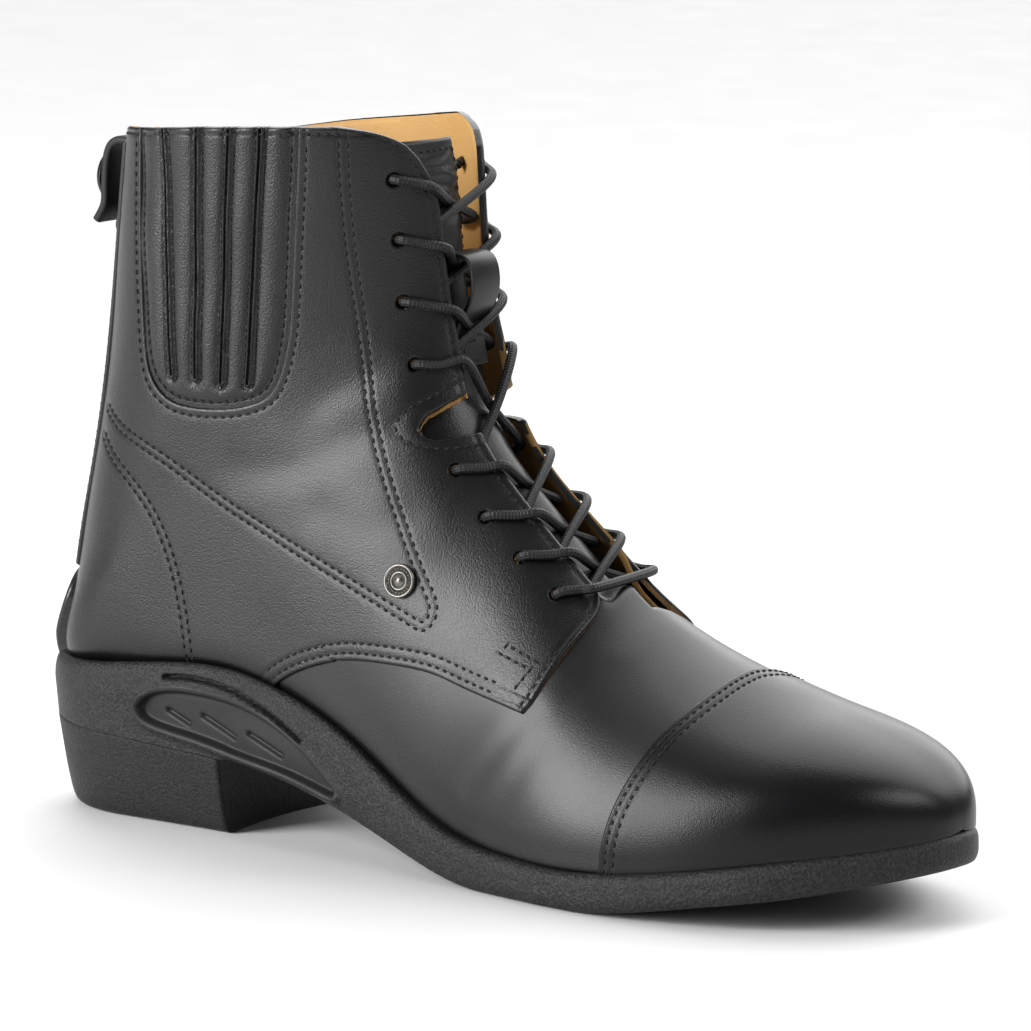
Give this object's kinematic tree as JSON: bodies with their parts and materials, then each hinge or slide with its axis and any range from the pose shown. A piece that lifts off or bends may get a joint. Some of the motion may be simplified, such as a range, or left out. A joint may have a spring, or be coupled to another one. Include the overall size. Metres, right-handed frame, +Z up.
{
  "type": "lace-up ankle boot",
  "caption": "Right lace-up leather ankle boot with back zip, side gore and moulded rubber sole; holds a foot and stands on its heel and forefoot.",
  "frame": {"origin": "on the floor under the centre of the heel block's rest face", "axes": "+X to the toe, +Y to the inner side of the foot, +Z up"},
  "size_m": [0.2835, 0.0963, 0.1911],
  "materials": {
    "rubber_sole": "grained moulded rubber",
    "rubber_heel": "grained moulded rubber",
    "black_leather": "smooth, polished",
    "tongue_leather": "soft, creased",
    "tan_leather": "lining leather, matte",
    "lace_cord": "waxed round braid",
    "stud_metal": "aged nickel",
    "spur_rubber": "smooth, glossy",
    "snap_plastic": "black",
    "zip_metal": "black"
  },
  "bodies": {
    "boot": {"outsole": "rubber_sole", "heel_block": "rubber_heel", "upper": "black_leather", "insole": "tan_leather", "tongue": "tongue_leather", "lace_keeper": "black_leather", "stud": "stud_metal", "spur_rest": "spur_rubber", "back_zip": "black_leather", "zip_tab": "black_leather", "tab_snap": "snap_plastic", "zip_slider": "zip_metal", "lace_bar": "lace_cord", "lace_cross_1": "lace_cord", "lace_cross_2": "lace_cord", "lace_cross_3": "lace_cord", "lace_cross_4": "lace_cord", "lace_cross_5": "lace_cord", "lace_cross_6": "lace_cord", "lace_cross_7": "lace_cord"},
    "zip_pull": {"zip_pull": "zip_metal"}
  },
  "joints": [
    {"name": "zip_pull_hinge", "type": "hinge", "parent": "boot", "child": "zip_pull", "pos_m": [-0.02155, 0, 0.1699], "axis": [0, 1, 0], "range_deg": [-20, 2]}
  ]
}
